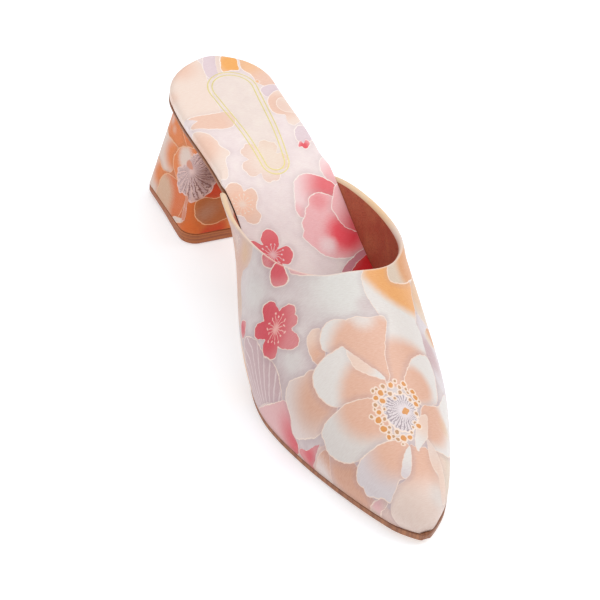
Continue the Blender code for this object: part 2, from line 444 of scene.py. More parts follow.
def buildPiece(name, verts, faces, materials, node, faceMaterial=None, flat=None, extra=None):
    mesh = bpy.data.meshes.new(name)
    mesh.from_pydata(verts.tolist(), [], faces)
    for material in materials:
        mesh.materials.append(material)
    if faceMaterial is not None:
        mesh.polygons.foreach_set("material_index", faceMaterial)
    if flat is not None:
        places = mesh.attributes.new("flat", "FLOAT_VECTOR", "POINT")
        places.data.foreach_set("vector", np.asarray(flat, np.float32).ravel())
    for key, values in (extra or {}).items():
        mesh.attributes.new(key, "FLOAT", "POINT").data.foreach_set("value", np.asarray(values, np.float32))
    mesh.shade_smooth()
    mesh.validate()
    piece = bpy.data.objects.new(name, mesh)
    bpy.context.scene.collection.objects.link(piece)
    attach(piece, "root")
    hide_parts(node)
    print(name, len(mesh.polygons), "faces")
    return piece


def gridFaces(rows, columns, start=0, closed=False, flip=False):
    faces = []
    for i in range(rows - 1):
        for j in range(columns if closed else columns - 1):
            k = (j + 1) % columns
            quad = (start + i * columns + j, start + i * columns + k,
                    start + (i + 1) * columns + k, start + (i + 1) * columns + j)
            faces.append(quad[::-1] if flip else quad)
    return faces


# Upper: printed cover folded over the topline, plain lining inside.
upperLook = {
    "reach": 1.4, "fullness": 2.28, "crestShift": -10.4, "shiftFrom": 150, "seat": -0.26, "wall": 1.8,
    "leastReach": 0.3,
    "throat": 162.2, "printZero": 163.2, "inner": (79.3, 1.87), "outer": (79.9, 3.06),
    "rows": 190, "columns": 230, "foldRows": 7, "rowEase": 1.35, "toeInset": 3.0,
    # topline: swell and depth of its roll, share of the wing where it starts; width and end of the facing
    "roll": (1.1, 7.0), "rollFrom": (0.45, 0.8), "facing": (6.0, 7.0), "facingEnd": (100, 125),
    # grid on which the cloth is laid flat: rows, columns, first station, steepest slope that counts
    "flatRows": 320, "flatColumns": 400, "flatFrom": 60, "flatSlope": 1.2,
    # what the lining and the fold report to the finish: height over the feather line, which sets the painted
    # shade above the sole, and share of the fold
    "insideRise": 30.0, "foldStart": (0.004, 0.25), "foldFrom": 0.4, "foldStretch": 0.9,
}


def topStation(t):
    rear = np.where(t < 0.5, upperLook["inner"][0], upperLook["outer"][0])
    curve = np.where(t < 0.5, upperLook["inner"][1], upperLook["outer"][1])
    return upperLook["throat"] - (upperLook["throat"] - rear) * np.abs(2 * t - 1) ** curve


def vampPoint(s, t, inset=0.0):
    middle, half = middleAndHalf(s)
    turn = -np.cos(np.pi * t)
    power = 2 / upperLook["fullness"]
    side = np.sign(turn) * np.abs(turn) ** power
    lift = np.maximum(np.sin(np.pi * t), 0) ** power
    swell = sideSwell(s) * np.sin(np.pi * lift)
    fade = (s - upperLook["shiftFrom"]) / (last["length"] - upperLook["shiftFrom"])
    shift = upperLook["crestShift"] * lift * np.clip(1 - fade, 0, 1)
    wide = np.maximum(half + upperLook["reach"] + swell - inset, upperLook["leastReach"])
    crest = np.maximum(crestHeight(s) * toeEnd(s, last["crestRound"]) - inset, upperLook["leastReach"])
    x = middle + side * wide + shift
    return np.stack(np.broadcast_arrays(s, x, feather(s) + upperLook["seat"] + crest * lift), -1)


def vampFlat(s, t):
    # flattened place: across from the crest, along from the throat; behind the throat from the feather
    columns, steep = upperLook["flatColumns"], upperLook["flatSlope"]
    ts = np.linspace(0, 1, columns + 1)
    ss = np.linspace(upperLook["flatFrom"], last["length"], upperLook["flatRows"])
    section = vampPoint(ss[:, None], ts[None, :])
    step = np.linalg.norm(np.diff(section[..., 1:], axis=1), axis=-1)
    girth = np.concatenate([np.zeros((len(ss), 1)), np.cumsum(step, 1)], 1)
    girth -= girth[:, columns // 2][:, None]
    throat = upperLook["printZero"]
    k = np.searchsorted(ss, throat)
    rear = ss < throat
    inner = girth - girth[:, :1] + girth[k, 0]
    outer = girth - girth[:, -1:] + girth[k, -1]
    girth[rear] = np.where(ts < 0.5, inner, outer)[rear]
    crest = feather(ss) + crestHeight(ss) * toeEnd(ss, last["crestRound"])
    slope = np.where(rear, np.gradient(feather(ss), ss), np.clip(np.gradient(crest, ss), -steep, steep))
    along = np.concatenate([[0], np.cumsum(np.hypot(1, slope[1:]) * np.diff(ss))])
    along -= np.interp(throat, ss, along)
    fs = np.clip((s - ss[0]) / (ss[1] - ss[0]), 0, len(ss) - 1.001)
    ft = np.clip(t * columns, 0, columns - 0.001)
    i, j = fs.astype(int), ft.astype(int)
    a, b = fs - i, ft - j
    u = (girth[i, j] * (1 - a) * (1 - b) + girth[i + 1, j] * a * (1 - b)
         + girth[i, j + 1] * (1 - a) * b + girth[i + 1, j + 1] * a * b)
    return np.stack([u, np.interp(s, ss, along), np.zeros_like(u)], -1)


def buildUpper(materials):
    rows, columns, foldRows = upperLook["rows"], upperLook["columns"], upperLook["foldRows"]
    a = np.linspace(0, 1, rows)[:, None]
    t = np.linspace(0, 1, columns)[None, :]
    top = topStation(t)
    s = top + (last["length"] - top) * (1 - (1 - a) ** upperLook["rowEase"])
    t = np.broadcast_to(t, s.shape)
    # the cloth is rolled over a padded topline on the wings
    swell, deep = upperLook["roll"]
    roll = swell * (1 - ease(0, deep, s - top)) * ease(*upperLook["rollFrom"], np.abs(2 * t - 1))
    outer = vampPoint(s, t, -roll)
    inside = vampPoint(np.minimum(s, last["length"] - upperLook["toeInset"]), t, upperLook["wall"])
    flat = vampFlat(s, t)
    # rounded fold from the outer edge over to the lining
    middle, half = (outer[0] + inside[0]) / 2, (outer[0] - inside[0]) / 2
    back = outer[0] - outer[1]
    back /= np.linalg.norm(back, axis=-1, keepdims=True)
    angle = np.linspace(0, np.pi, foldRows + 2)[1:-1, None, None]
    deep = np.linalg.norm(half, axis=-1, keepdims=True)
    fold = middle + half * np.cos(angle) + back * deep * np.sin(angle)
    foldFlat = flat[:1] - np.array([0, 1.0, 0]) * (angle * upperLook["foldStretch"])
    verts = np.concatenate([outer.reshape(-1, 3), fold.reshape(-1, 3), inside.reshape(-1, 3)])
    places = np.concatenate([flat.reshape(-1, 3), foldFlat.reshape(-1, 3), flat.reshape(-1, 3)])
    rise = np.concatenate([(outer[..., 2] - feather(s)).ravel(),
                           np.full((foldRows + rows) * columns, upperLook["insideRise"])])
    near, first = upperLook["foldStart"]
    folded = np.concatenate([np.where(a * np.ones_like(s) < near, first, 0.0).ravel(),
                             np.repeat(np.linspace(upperLook["foldFrom"], 1, foldRows), columns),
                             np.ones(rows * columns)])
    n = rows * columns
    innerStart = n + foldRows * columns
    faces = gridFaces(rows, columns)
    starts = [0] + [n + k * columns for k in range(foldRows)] + [innerStart]
    order = [list(range(start, start + columns)) for start in starts]
    for first, second in zip(order, order[1:]):
        faces += [(first[j], second[j], second[j + 1], first[j + 1]) for j in range(columns - 1)]
    printed = len(faces)
    faces += gridFaces(rows, columns, innerStart, flip=True)
    tail, innerTail = (rows - 1) * columns, innerStart + (rows - 1) * columns
    faces += [(tail + j, tail + j + 1, innerTail + j + 1, innerTail + j) for j in range(columns - 1)]
    for j, flip in ((0, False), (columns - 1, True)):
        rim = [(i * columns + j, (i + 1) * columns + j, innerStart + (i + 1) * columns + j,
                innerStart + i * columns + j) for i in range(rows - 1)]
        rim.append(tuple(row[j] for row in order[::-1]))
        faces += [quad[::-1] for quad in rim] if flip else rim
    index = [0] * printed + [1] * (len(faces) - printed)
    # narrow facing turned in behind the inner wing
    turned = np.zeros(len(verts))
    facing = (1 - ease(*upperLook["facing"], s - top)) * (1 - ease(*upperLook["facingEnd"], s))
    turned[innerStart:] = (facing * (t < 0.5)).ravel()
    return buildPiece("vamp", toRow(verts), faces, materials, "upper", index, places,
                      {"rise": rise, "fold": folded, "turned": turned})


vampLayers = [
    # ground: paler at the throat, mauve beside the leaf
    glow((2, 4), 5, 24, 1.0, "pearl"),
    glow((-32, -13), 2, 11, 0.55, "pearl"),
    glow((-29, 23), 2, 7, 0.45, "pearl"),
    glow((-38, 25), 1, 8, 0.55, "shadow"),
    glow((9, 13), 1, 6, 0.5, "shadow"),
    # hidden inner side and rear wing
    petal([(-48, -66), (-36, -62), (-27, -48), (-20, -36), (-22, -27), (-28, -24), (-33, -26), (-38, -24),
        (-42, -17), (-48, -14), (-56, -18), (-64, -26), (-70, -38), (-60, -56)], "wing", "dust",
        (-44, -36), (8, 22), line=0.3, edge="blush", halo=0.1, soft=0.7,
        spots=[((-31, -42), 2, 9, 0.6, "shadow"), ((-28, -30), 1, 7, 0.6, "melon"),
        ((-43, -21), 1, 7, 0.5, "bran")]),
    petal([(-78, -8), (-70, -20), (-62, -22), (-56, -14), (-58, -6), (-66, -1), (-74, 2)], "orange",
        "blush", (-72, -8), (4, 14)),
    stamens((-33, -41), 5.0, 14, colour="blush"),
    petal([(-52, -12), (-47, -13), (-44, -10), (-46, -8.5), (-50, -7.5), (-53, -9)], "red", "rose",
        (-49, -11), (1, 4), line=0.3),
    # veined leaf on the inner side
    veins([(-50, -7), (-45, 0), (-43, 6), (-40, 13), (-37.5, 18), (-38, 25), (-40.5, 31), (-46, 28),
        (-52, 23), (-60, 18), (-68, 13), (-76, 6), (-66, -2), (-58, -5)], (-76, 34), 46, "mauve", "vein",
        bow=3.0),
    # pink petals over the inner feather line
    petal([(-72, 12), (-62, 17), (-54, 22), (-48, 26), (-42, 30), (-38.3, 33), (-39, 36.5), (-40.5, 39.5),
        (-44, 42.5), (-44.5, 46.5), (-50, 46.5), (-56, 43), (-64, 32)], "red", "pink", (-50, 51),
        (7, 23)),
    petal([(-50, 47), (-45, 48), (-41.5, 51.5), (-36, 54.5), (-31, 56.8), (-38, 57.5), (-45, 57),
        (-51, 53)], "red", "rose", (-43, 56), (2, 8)),
    petal([(-47, 56), (-38, 57.5), (-30, 58), (-24, 66), (-20, 74), (-21, 86), (-13, 96), (-16, 101),
        (-24, 98), (-32, 86), (-40, 70)], "clay", "dust", (-24, 76), (8, 20), line=0.25, edge="blush"),
    petal([(-47, 57), (-40, 58), (-33, 58.6), (-29.5, 60.5), (-30, 64), (-36, 66.5), (-43, 66)], "smoke",
        "clay", (-42, 62), (3, 12), line=0.35, edge="blush", halo=0.2),
    petal([(-30, 87), (-24, 87.2), (-18, 89), (-14, 91), (-15, 93.5), (-20, 92.6), (-27, 91)], "pink",
        "dust", (-20, 89), (1, 6), line=0.5, halo=0.2),
    # lilac and orange flower on the outer side of the throat
    petal([(40, 12), (46, 8), (56, 2), (66, 4), (68, 20), (60, 36), (52, 46), (42, 47), (36.5, 40),
        (36, 28), (38, 19)], "mauve", "lilac", (40, 29), (4, 12), line=0.2, halo=0),
    petal([(43, 19), (48, 14), (55, 10), (62, 12), (60, 18), (52, 21), (45, 23)], "ochre", "linen",
        (52, 15), (2, 8), line=0.2, halo=0),
    petal([(41, -2), (46, -10), (52, -18), (62, -16), (64, -2), (57, 8), (48, 11), (42, 8)], "melon",
        "linen", (46, -6), (5, 16), line=0.4, halo=0.1),
    petal([(11.6, -3), (10.6, 4), (11.2, 9.5), (13.5, 15), (17, 23), (24, 25), (33, 24), (38, 15),
        (42, 6), (43, -5), (36, -6), (25, -6), (17, -5)], "orange", "white", (34, -14), (23, 29.5),
        line=0.3, halo=0.22),
    petal([(24.5, -5), (27, 0.4), (33, -0.2), (38, -2.4), (42, -5.5), (47, -10), (50, -17), (47, -23),
        (42, -26), (36, -20), (30, -11)], "ochre", "linen", (40, -12), (6, 13), line=0.6, halo=0.2),
    petal(blossomPoints((66, -32), 10, 8), "peach", "blush", (66, -32), (3, 9), halo=0.15),
    stamens((66, -32), 5.4, 14),
    petal([(58, -66), (50, -58), (46, -46), (50, -38), (58, -40), (64, -46), (72, -44), (78, -50),
        (74, -60), (66, -66)], "wing", "dust", (60, -56), (6, 18), edge="blush", halo=0.15,
        spots=[((52, -44), 1, 8, 0.6, "melon")]),
    petal(blossomPoints((75, -6), 11, 40), "red", "rose", (77, -8), (4, 11), halo=0.4),
    stamens((75, -6), 6.4, 15),
    petal([(84, -28), (80, -24), (81, -19), (86, -17), (91, -20), (91, -26)], "rose", "pink", (84, -22),
        (1, 6), line=0.35),
    veins([(92, 10), (80, 6), (70, 8), (64, 18), (66, 30), (76, 34), (90, 28)], (92, 40), 40, "mauve",
        "vein", bow=2.0),
    petal([(80, 30), (70, 34), (62, 38), (56, 46), (52, 56), (60, 60), (72, 52), (84, 40)], "rose",
        "blush", (72, 48), (3, 15)),
    # plum blossom cut by the topline
    petal([(-14.5, -7.5), (-12, -4.5), (-8.5, -3), (-5, -3), (-6, -7), (-11, -11)], "pink", line=0.4,
        halo=0.2),
    petal([(-18, -12.8), (-20.6, -15.5), (-20.8, -18), (-19.3, -20.5), (-15, -21), (-12, -15)], "rose",
        "red", (-20, -17), (1, 5), line=0.4),
    petal([(-21, -12), (-23.4, -8.8), (-22.2, -6), (-19.4, -4.7), (-16.6, -5.6), (-15, -8.6), (-13, -13),
        (-18, -13.4)], "red", "rose", (-17, -12), (2, 8)),
    # upper petals of the peony
    petal([(-21, 25), (-20.5, 20), (-18, 17), (-15.5, 16.6), (-13.4, 18), (-14.5, 23), (-14.5, 28),
        (-16.5, 30.5), (-19, 31), (-20.6, 29)], "peach", "blush", (-17, 28), (2, 9), line=0.35),
    petal([(6, 47), (7, 39), (9.4, 32), (13.4, 26), (17, 20.5), (18, 15.5), (24, 13.5), (31, 14),
        (36.5, 16), (38.2, 21), (36.8, 27), (35, 33), (28, 40), (20, 48), (12, 50)], "peach", "white",
        (18, 62), (30, 38), line=0, halo=0, soft=0.5),
    petal([(-15, 27), (-14.8, 21.5), (-12.6, 18), (-9, 16.2), (-5.5, 16.1), (-2, 17.6), (3, 17),
        (8, 18.3), (12, 18), (16.4, 17.6), (17.2, 20.5), (14, 27), (10, 36), (8, 46), (3, 46), (-3, 39),
        (-8, 31)], "peach", "white", (6, 36), (17, 24), line=0.35,
        spots=[((6, 17), 2, 9, 0.85, "white")]),
    petal([(14, 48), (17.6, 42.4), (22, 37.6), (27, 34.4), (32, 32.6), (35.6, 32.4), (37, 36), (36.2, 42),
        (34, 48), (31, 53.4), (27, 56.4), (20, 58), (16, 56)], "peach", "white", (20, 48.5), (5.5, 11.5)),
    # outer and white petals towards the inner side
    petal([(-38.6, 32), (-36, 29.4), (-33, 28.4), (-30, 29.6), (-26, 31), (-22, 31), (-19, 36), (-18, 46),
        (-18, 51), (-25, 53.4), (-29, 54.2), (-33, 53), (-36.5, 50.6), (-40, 48), (-43.6, 44.8),
        (-43.4, 42), (-40.4, 39.6), (-39.4, 36)], "tan", "smoke", (-23, 42), (5, 18)),
    petal([(-24, 37), (-22.6, 33), (-19, 30.6), (-14, 28.8), (-9, 28.2), (-7, 27.6), (-5, 31), (0, 38),
        (6, 45), (3, 52), (-6, 53), (-13, 50.8), (-17, 50.6), (-20.6, 48), (-23.4, 42.6)], "peach",
        "white", (2, 52), (14, 21.5)),
    petal([(-6.4, 31), (-5.4, 29.6), (-2.4, 34), (1.5, 38.8), (5, 43), (6.2, 46), (2, 44.2), (-2.4, 41.4),
        (-5, 38.6), (-6, 35)], "blush", "white", (-3, 37), (3, 10), line=0.4, halo=0.12),
    # outer lower petal and the one beyond it
    petal([(46, 62), (54, 52), (62, 50), (60, 60), (50, 74), (38, 88), (28, 99), (18, 106), (12, 104),
        (12, 92), (13, 79), (22, 77), (30, 75)], "linen", "white", (22, 88), (10, 22), line=0.35,
        spots=[((15, 82), 2, 9, 0.85, "blush")]),
    petal([(18, 58.6), (24, 57), (30, 55.6), (36, 51), (44, 45), (50, 52), (46, 60), (38, 70), (29, 76.6),
        (21, 78.6), (14, 77), (14, 68)], "peach", "white", (17, 62), (10, 17),
        spots=[((30, 65), 1, 6, 0.5, "melon")]),
    # left, toe and lower petals
    petal([(-28.4, 54), (-24, 52.2), (-18, 51.2), (-13, 50.4), (-8, 51), (-2, 53), (0, 64), (-2, 72),
        (-8, 73.6), (-14, 73.4), (-18, 73.4), (-20.4, 72.4), (-24, 70), (-27, 66.6), (-29, 63),
        (-29.6, 60), (-28.6, 57)], "peach", "frost", (-4, 55), (10, 19)),
    # toe petal: its white spot is a painted highlight on the bulge of the toe
    petal([(4, 75), (7, 77), (11, 77), (12.6, 80), (11, 86), (14, 95), (15, 103), (5, 111), (-8, 109),
        (-15, 101), (-15, 97), (-12.4, 93.4), (-8, 90.4), (-3, 89), (0.6, 85)], "peach", "shell", (5, 79),
        (6, 21), line=0.35, spots=[((8, 98), 1, 7, 0.6, "white")]),
    petal([(-18, 73.6), (-14, 72.6), (-8, 71.6), (-3, 71.4), (2, 73), (4, 76), (1.4, 82), (-2.4, 88.6),
        (-6, 89), (-10, 92), (-13.6, 93.8), (-15.2, 91.2), (-18, 88.8), (-21.6, 85.6), (-22.2, 83.6),
        (-21.7, 81.6), (-23.1, 79.6), (-22.2, 77), (-20.2, 75)], "peach", "lilac", (1, 76), (8, 20)),
    petal([(4, 76), (2.2, 82), (-0.8, 87.4), (-3.4, 89.2), (-4.9, 87.6), (-4, 85), (-1.4, 80.8), (1, 78)],
        "white", "lilac", (2, 78), (3, 12), line=0.25, halo=0.18),
    petal([(13.6, 72.6), (15.6, 76), (16.7, 82), (16.2, 90), (14.6, 98), (11, 100), (10.8, 94),
        (12, 89.4), (10.4, 86), (11.4, 80), (12.8, 76)], "blush", "shell", (13, 90), (2, 14), line=0.4,
        halo=0.15),
    petal([(19.4, 62), (17, 68), (14, 73), (10, 76), (6.4, 79), (7, 75), (9, 71), (12, 66.6), (15, 63)],
        "blush", "white", (16, 65), (2, 13), line=0.35, halo=0.15),
    # eye of the peony: rayed disc, amber grains around it and the star at its heart
    rays([(-0.6, 56), (2, 53.4), (6, 52.4), (10.5, 52.4), (14, 54.5), (15, 58.5), (14.2, 63), (12, 67),
        (8.5, 69.6), (4, 69.4), (0.8, 66.6), (-0.8, 62)], (8.6, 60.4), 9.0, 33, "disc", "thread",
        (0.22, 0.5), 0.8),
    dots([(0.3, 49.1, 0.6), (3.4, 48.5, 0.9), (9.7, 47, 0.7), (10.8, 49.8, 0.8), (13.5, 50.7, 0.7),
        (13.8, 52.2, 0.6), (10.1, 52.2, 0.9), (5.3, 52.1, 0.9), (3.6, 50.9, 0.5), (6.6, 54.4, 0.6),
        (-2.9, 55.3, 0.9), (-3.8, 57, 0.5), (0.3, 57.9, 0.6), (-6.3, 59.6, 0.7), (-1.5, 62.1, 0.8),
        (-3.6, 63.9, 0.5), (-0.9, 66.2, 0.6), (-2.1, 68, 0.7), (-0.9, 70.3, 0.7), (1.3, 69, 0.9),
        (0.3, 72, 0.8), (7.4, 70, 0.6), (11.2, 65.9, 0.6), (13.8, 61.9, 0.9), (13.5, 55.6, 0.8),
        (18, 56.2, 0.5), (1.6, 74.6, 0.5), (-1.4, 49.4, 0.7), (9.2, 68, 0.5)], "seed"),
    dots([(7.2, 48.6, 1.1), (13.5, 48.5, 1.0), (16.5, 51.9, 1.1), (16.8, 54.4, 1.1), (1.5, 50.9, 1.2),
        (-1.4, 52.5, 1.1), (0.9, 54.3, 1.2), (-2.5, 58.8, 1.1), (-4.1, 61.8, 1.4), (-3.5, 66.2, 1.4),
        (-2.9, 70.1, 1.0), (2.8, 72.1, 1.3), (5.8, 72.2, 1.1), (12.4, 67.4, 1.1), (15.6, 57.6, 1.1)],
        "amber"),
    petal([(6.9, 61.4), (8, 59.8), (9.4, 58.9), (10.4, 59.5), (11.2, 60.1), (10.2, 61.2), (9.2, 62.1),
        (8.2, 61.8)], "amber", line=0.1, edge="white", halo=0),
    # red plum blossom of the inner side
    petal([(-36.2, -1.4), (-34.6, -4), (-32, -5.4), (-29, -5), (-27.2, -2.4), (-28.4, 1), (-25, 0.9),
        (-22, 2.4), (-20.3, 5.4), (-21.6, 6.6), (-20.6, 9), (-22, 11), (-25, 11.8), (-23.4, 14),
        (-22.7, 16.6), (-24, 19.2), (-27, 19.2), (-30, 17.2), (-32.6, 14.4), (-34, 13.4), (-35.4, 15.8),
        (-38, 15.4), (-41, 12.2), (-43, 9), (-42, 6.4), (-39.4, 5.4), (-43, 2.2), (-45, -0.4),
        (-43, -2.6), (-40, -3.3), (-38, -2.2)], "red", "rose", (-36, 2), (7, 16), line=0.4, halo=0.4),
    stamens((-32, 6.2), 6.0, 15),
]


# satin under the print: unsteady hand of the drawing, slanting grain, its shade and relief
satin = {"swayScale": 0.42, "sway": (1.25, 1.25, 0.0), "laceScale": 0.75, "grain": (0.45, 3.2, 1.0),
         "grainTurn": 32, "cloudScale": 0.11, "tone": 0.45, "toneColour": "8d7a78", "bump": 0.42,
         "bumpDistance": 0.0002, "foilShine": 0.2, "foilDepth": 1.5, "coatRoughness": 0.3}


def printedFinish(name, layers, groundStops, roughness, shade="plum", edge="cream", coat=0.12):
    f = Finish(name)
    place = f.attribute("flat")
    sway = f.vector("SUBTRACT", f.noise(place, satin["swayScale"], 2.0, 0.5, 1), (0.5, 0.5, 0.5))
    drawn = f.vector("MULTIPLY_ADD", sway, satin["sway"], place)
    lines = f.noise(f.stretch(place, satin["grain"], satin["grainTurn"]), 1.0, 2.0, 0.6)
    cloud = f.noise(place, satin["cloudScale"], 3.0, 0.55)
    lace = f.noise(place, satin["laceScale"], 2.0, 0.6)
    ground = f.node("ShaderNodeValToRGB", {"stops": groundStops}, {0: cloud})
    drawing = Print(f, drawn, place, ground, shade, edge, lines, lace)
    colour = drawing.draw(layers)
    tone = f.span(lines, 0.25, 0.75, 0.0, satin["tone"])
    colour = f.mix(tone, colour, satin["toneColour"], "SOFT_LIGHT")
    height = lines
    if drawing.foil:
        f.wear(Metallic=drawing.foil * satin["foilShine"])
        height = lines - drawing.foil * satin["foilDepth"]
    f.wear(Roughness=f.span(lines + cloud * 0.5, 0.4, 1.1, roughness - 0.06, roughness + 0.08),
           Normal=f.bump(height, satin["bump"], satin["bumpDistance"]),
           Coat_Weight=f.span(cloud, 0.3, 0.7, coat * 0.7, coat * 1.3),
           Coat_Roughness=satin["coatRoughness"], Specular_IOR_Level=0.2 + coat * 2)
    return f, colour


def vampFinish():
    ground = [(0.32, "c4b7b7"), (0.5, "c9bdbc"), (0.66, "cec4c2")]
    f, colour = printedFinish("printedSatin", vampLayers, ground, 0.4)
    # painted shade: the cover turns darker brown within a few millimetres above the sole, where the upper
    # meets it
    low = f.span(f.attribute("rise", "Fac"), 0.2, 3.0, 0.2, 0.0)
    colour = f.mix(low, colour, "9a6c55")
    along = f.node("ShaderNodeSeparateXYZ", {}, {0: f.attribute("flat")}, 1)
    fold = f.mix(f.span(along, -56.0, -34.0, 0.75, 0.0), "e2cbbb", "e8c48f")
    colour = f.mix(f.span(f.attribute("fold", "Fac"), 0.1, 0.55, 0.0, 0.8), colour, fold)
    return f.wear(Base_Color=colour)


def liningFinish():
    f = Finish("terracottaLining")
    place = f.attribute("flat")
    pores = f.node("ShaderNodeTexVoronoi", {"feature": "DISTANCE_TO_EDGE"}, {"Vector": place, "Scale": 0.9})
    cloud = f.noise(place, 0.12, 4.0)
    colour = f.mix(f.span(cloud, 0.3, 0.7), "b0513a", "bd6848")
    colour = f.mix(f.span(pores, 0.0, 0.12, 0.35, 0.0), colour, "8a3b28")
    colour = f.mix(f.attribute("turned", "Fac"), colour, "cbb2a2")
    height = f.span(pores, 0.0, 0.2)
    return f.wear(Base_Color=colour, Roughness=f.span(cloud, 0.3, 0.7, 0.5, 0.62),
                  Normal=f.bump(height, 0.35, 0.0003))


# Sole layers: closed sections along the foot, from the bottom over the rim to the top.
# Ribs start in front of the heel, stay off the sides, and run straight near both ends.
# Rows stand closer near both ends; rimHalf is the half width under which the rim shrinks with it.
plateLook = {
    "ends": (0.0015, 0.9985), "crowding": 0.9, "rimHalf": 12, "waves": 2.5,
    "straightHeel": (8, 40), "straightToe": (215, 245), "ribFrom": (54, 60), "ribSide": (0.86, 0.94),
}


def buildPlate(name, look, materials, node, low, thick, spread=None):
    rows, wave, crowd = look["rows"], look["wave"], plateLook["crowding"]
    u = np.linspace(*plateLook["ends"], rows)
    row = last["length"] * (crowd * (1 - np.cos(np.pi * u)) / 2 + (1 - crowd) * u)
    rim = look["rim"]
    bottom, top = (np.linspace(-1, 1, look[key])[1:-1] for key in ("bottom", "top"))
    loop = [(q, rim[0][0], 0.0, 1) for q in bottom] + [(1.0, i, h, 0) for i, h in rim]
    loop += [(-q, rim[-1][0], 1.0, 0) for q in top] + [(-1.0, i, h, 0) for i, h in reversed(rim)]
    share, inset, height, under = (np.array(column)[None, :] for column in zip(*loop))
    # rows of a ribbed bottom bend across the foot, so each rib lies along its row
    calm = ease(*plateLook["straightHeel"], row) * (1 - ease(*plateLook["straightToe"], row))
    s = row[:, None] + wave * np.sin(plateLook["waves"] * np.pi * share) * calm[:, None]
    middle, half = middleAndHalf(s)
    half = half + plateGrow(look)(s)
    along = look["start"] + (look["end"] - look["start"]) * s / last["length"]
    inset = inset * np.minimum(half / plateLook["rimHalf"], 1)
    extra = 0.0
    if spread:
        inner, outer, rounding = spread(row)
        extra = share * height * np.where(share > 0, outer[:, None], inner[:, None])
        inset = inset * rounding[:, None]
    x = middle + share * (half - inset) + extra
    run = pathLength(np.stack([row, low(row) + thick(row)], -1))
    depth, pitch = look["ribs"]
    groove = (0.5 - 0.5 * np.cos(2 * np.pi * run / pitch))[:, None] * ease(*plateLook["ribFrom"], s) * under
    groove = groove * (1 - ease(*plateLook["ribSide"], np.abs(share)))
    z = low(along) + thick(along) * height + depth * groove
    points = np.stack([along, x, z], -1)
    flat = np.stack([x, np.interp(s, row, run), np.zeros_like(x)], -1)
    columns = len(loop)
    faces = gridFaces(rows, columns, closed=True, flip=True)
    faces.append(tuple(range(columns)))
    faces.append(tuple(range((rows - 1) * columns, rows * columns))[::-1])
    below = (under[0] * np.roll(under[0], -1)).astype(int)
    index = (np.tile(below, rows - 1) * (len(materials) - 1)).tolist() + [0, 0]
    return buildPiece(name, toRow(points.reshape(-1, 3)), faces, materials, node, index, flat.reshape(-1, 3),
                      {"edge": np.broadcast_to(height, x.shape).ravel(), "groove": groove.ravel()})


# rim: inset and share of the thickness; ribs: depth and pitch; grow: at the seat, added from the waist on
soleLook = {
    "rows": 960, "bottom": 44, "top": 6, "wave": 7.0, "ribs": (0.26, 2.0), "start": -0.2, "end": 259.2,
    "grow": (0.2, 1.0), "waist": (76, 86),
    "rim": ((0.5, 0.0), (0.22, 0.06), (0.06, 0.14), (0.0, 0.24), (0.0, 0.86), (0.06, 0.95), (0.25, 1.0)),
}
insoleLook = {
    "rows": 320, "bottom": 8, "top": 90, "wave": 0.0, "ribs": (0.0, 2.0), "start": 0.0, "end": 254.6,
    "grow": (0.0, -1.8), "waist": (76, 82), "seat": 5.5, "toe": 4.0, "thinning": (120, 240), "clear": 0.25,
    "cover": (70, 80), "coverEnd": (165, 190), "coveredRim": 0.94, "wallSearch": (0.001, 0.3, 240),
    "fill": 0.9,
    "rim": [(0.3, 0.0), (0.08, 0.06), (0.0, 0.15)] + [
        (4.5 * (1 - math.cos(q)) ** 1.2, 0.5 + 0.5 * math.sin(q)) for q in np.linspace(0, math.pi / 2, 12)],
}


def insoleThickness(s):
    seat, toe = insoleLook["seat"], insoleLook["toe"]
    return seat + (toe - seat) * ease(*insoleLook["thinning"], s)


def plateGrow(look):
    seat, waist = look["grow"]
    return lambda s: seat + waist * ease(*look["waist"], s)


def insoleSpread(s):
    # inside the upper the footbed widens with height until it meets the lining
    middle, half = middleAndHalf(s)
    half = half + plateGrow(insoleLook)(s)
    t = np.linspace(*insoleLook["wallSearch"])
    level = insoleThickness(s)
    reach = []
    for share, sign in ((t, -1), (1 - t, 1)):
        wall = vampPoint(s[:, None], share[None, :], upperLook["wall"])
        rise = wall[..., 2] - feather(s)[:, None]
        place = np.array([np.interp(*row) for row in zip(level, rise, wall[..., 1])])
        reach.append(np.maximum((place - middle) * sign - half - insoleLook["clear"], 0))
    covered = ease(*insoleLook["cover"], s) * (1 - ease(*insoleLook["coverEnd"], s))
    return reach[0] * covered, reach[1] * covered, 1 - insoleLook["coveredRim"] * covered


